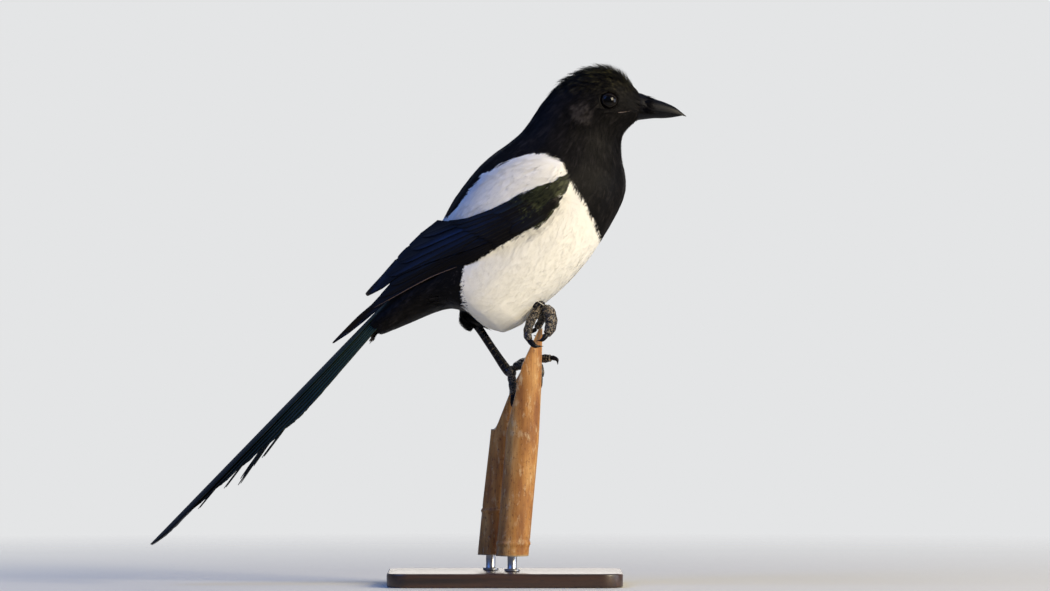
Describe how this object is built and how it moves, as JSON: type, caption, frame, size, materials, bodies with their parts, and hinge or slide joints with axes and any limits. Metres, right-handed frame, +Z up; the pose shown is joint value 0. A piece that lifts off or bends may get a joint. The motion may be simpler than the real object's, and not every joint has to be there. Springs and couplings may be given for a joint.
{
  "type": "eurasian magpie model",
  "caption": "Still, life-size eurasian magpie in side-on stance, gripping the slanted tips of cut reeds held by rods on a flat base.",
  "frame": {"origin": "centre of the flat underside of the stand's base", "axes": "+X the way the bird faces, +Y its left side, +Z up"},
  "size_m": [0.343, 0.112, 0.3325],
  "materials": {
    "black_plumage": "soft black body feathers with a faint green and brown gloss",
    "white_plumage": "soft, matt white body feathers",
    "blue_plumage": "close, glossy blue-black flight feathers",
    "green_plumage": "close, glossy green-black feathers",
    "horn": "smooth black horn of bill and claws, slightly worn",
    "leg_scales": "black, scaled leg skin with a dull shine",
    "eye": "wet, dark brown eye",
    "reed": "dry tan cane with pale bloom, brown specks and lengthwise grain",
    "stand_wood": "dark stained wood, satin",
    "stand_steel": "brushed"
  },
  "bodies": {
    "root": {"belly": "white_plumage", "bill_lower": "horn", "bill_upper": "horn", "breast": "black_plumage", "claw_left_hind": "horn", "claw_left_inner": "horn", "claw_left_middle": "horn", "claw_left_outer": "horn", "claw_right_hind": "horn", "claw_right_inner": "horn", "claw_right_middle": "horn", "claw_right_outer": "horn", "eye_left": "eye", "eye_right": "eye", "foot_left": "leg_scales", "foot_right": "leg_scales", "head": "black_plumage", "neck": "black_plumage", "perch_cane_back": "reed", "perch_cane_front": "reed", "scapulars_left": "white_plumage", "scapulars_right": "white_plumage", "stand_base": "stand_wood", "stand_rod_back": "stand_steel", "stand_rod_front": "stand_steel", "tail_coverts": "black_plumage", "tail_feather_left_1": "green_plumage", "tail_feather_left_2": "green_plumage", "tail_feather_left_3": "green_plumage", "tail_feather_left_4": "green_plumage", "tail_feather_left_5": "green_plumage", "tail_feather_left_6": "green_plumage", "tail_feather_right_1": "green_plumage", "tail_feather_right_2": "green_plumage", "tail_feather_right_3": "green_plumage", "tail_feather_right_4": "green_plumage", "tail_feather_right_5": "green_plumage", "tail_feather_right_6": "green_plumage", "thigh_left": "black_plumage", "wing_coverts_left": "green_plumage", "wing_coverts_right": "green_plumage", "wing_primaries_left": "black_plumage", "wing_primaries_right": "black_plumage", "wing_secondaries_left": "blue_plumage", "wing_secondaries_right": "blue_plumage"}
  },
  "joints": []
}
